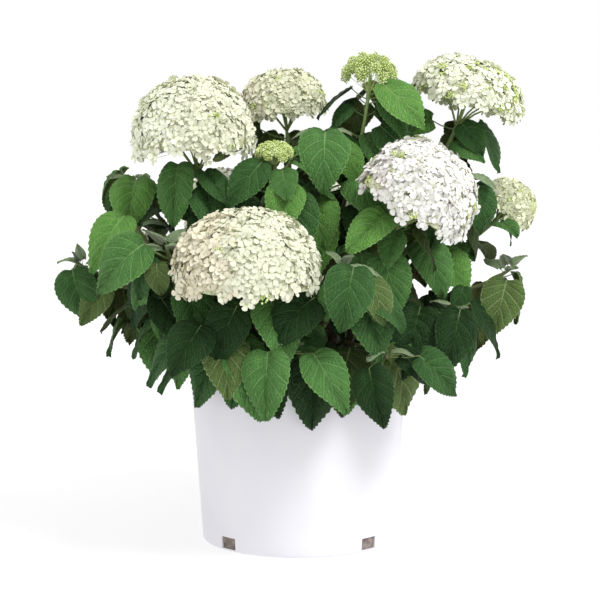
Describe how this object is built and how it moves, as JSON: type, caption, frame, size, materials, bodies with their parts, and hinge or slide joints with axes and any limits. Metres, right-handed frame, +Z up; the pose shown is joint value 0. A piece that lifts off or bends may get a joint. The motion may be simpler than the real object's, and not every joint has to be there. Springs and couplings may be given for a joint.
{
  "type": "potted hydrangea shrub",
  "caption": "Leafy mophead hydrangea shrub with large domed white flower heads on upright canes, growing in a tapered round white nursery pot filled with bark mix.",
  "frame": {"origin": "centre of the pot's flat underside, which stands on the floor", "axes": "+Z up along the pot's axis, -Y towards the front of the plant, +X to its right seen from the front"},
  "size_m": [0.6224, 0.5806, 0.6232],
  "materials": {
    "pot_white": "satin",
    "bark_mix": "rough",
    "cane_bark": "matte",
    "foliage": "satin",
    "blossom": "matte"
  },
  "bodies": {
    "root": {"bloom_back_left": "blossom", "bloom_back_left_cane": "cane_bark", "bloom_far_right": "blossom", "bloom_far_right_cane": "cane_bark", "bloom_front_left": "blossom", "bloom_front_left_cane": "cane_bark", "bloom_front_right": "blossom", "bloom_front_right_cane": "cane_bark", "bloom_left_low": "blossom", "bloom_left_low_cane": "cane_bark", "bloom_rear": "blossom", "bloom_rear_cane": "cane_bark", "bloom_rear_left": "blossom", "bloom_rear_left_cane": "cane_bark", "bloom_rear_right": "blossom", "bloom_rear_right_cane": "cane_bark", "bloom_upper_left": "blossom", "bloom_upper_left_cane": "cane_bark", "bloom_upper_right": "blossom", "bloom_upper_right_cane": "cane_bark", "bud_head_small": "blossom", "bud_head_small_cane": "cane_bark", "bud_head_top": "blossom", "bud_head_top_cane": "cane_bark", "crown_centre": "foliage", "crown_centre_cane": "cane_bark", "crown_left": "foliage", "crown_left_cane": "cane_bark", "crown_left_front": "foliage", "crown_left_front_cane": "cane_bark", "crown_right": "foliage", "crown_right_cane": "cane_bark", "pot": "pot_white", "skirt_front": "foliage", "skirt_front_cane": "cane_bark", "skirt_front_left": "foliage", "skirt_front_left_cane": "cane_bark", "skirt_front_right": "foliage", "skirt_front_right_cane": "cane_bark", "skirt_left": "foliage", "skirt_left_cane": "cane_bark", "skirt_left_rear": "foliage", "skirt_left_rear_cane": "cane_bark", "skirt_rear": "foliage", "skirt_rear_cane": "cane_bark", "skirt_rear_left": "foliage", "skirt_rear_left_cane": "cane_bark", "skirt_rear_right": "foliage", "skirt_rear_right_cane": "cane_bark", "skirt_right": "foliage", "skirt_right_cane": "cane_bark", "soil": "bark_mix", "tip_centre": "foliage", "tip_centre_cane": "cane_bark", "tip_far_left": "foliage", "tip_far_left_cane": "cane_bark", "tip_far_right": "foliage", "tip_far_right_cane": "cane_bark", "tip_mid_left": "foliage", "tip_mid_left_cane": "cane_bark"}
  },
  "joints": []
}
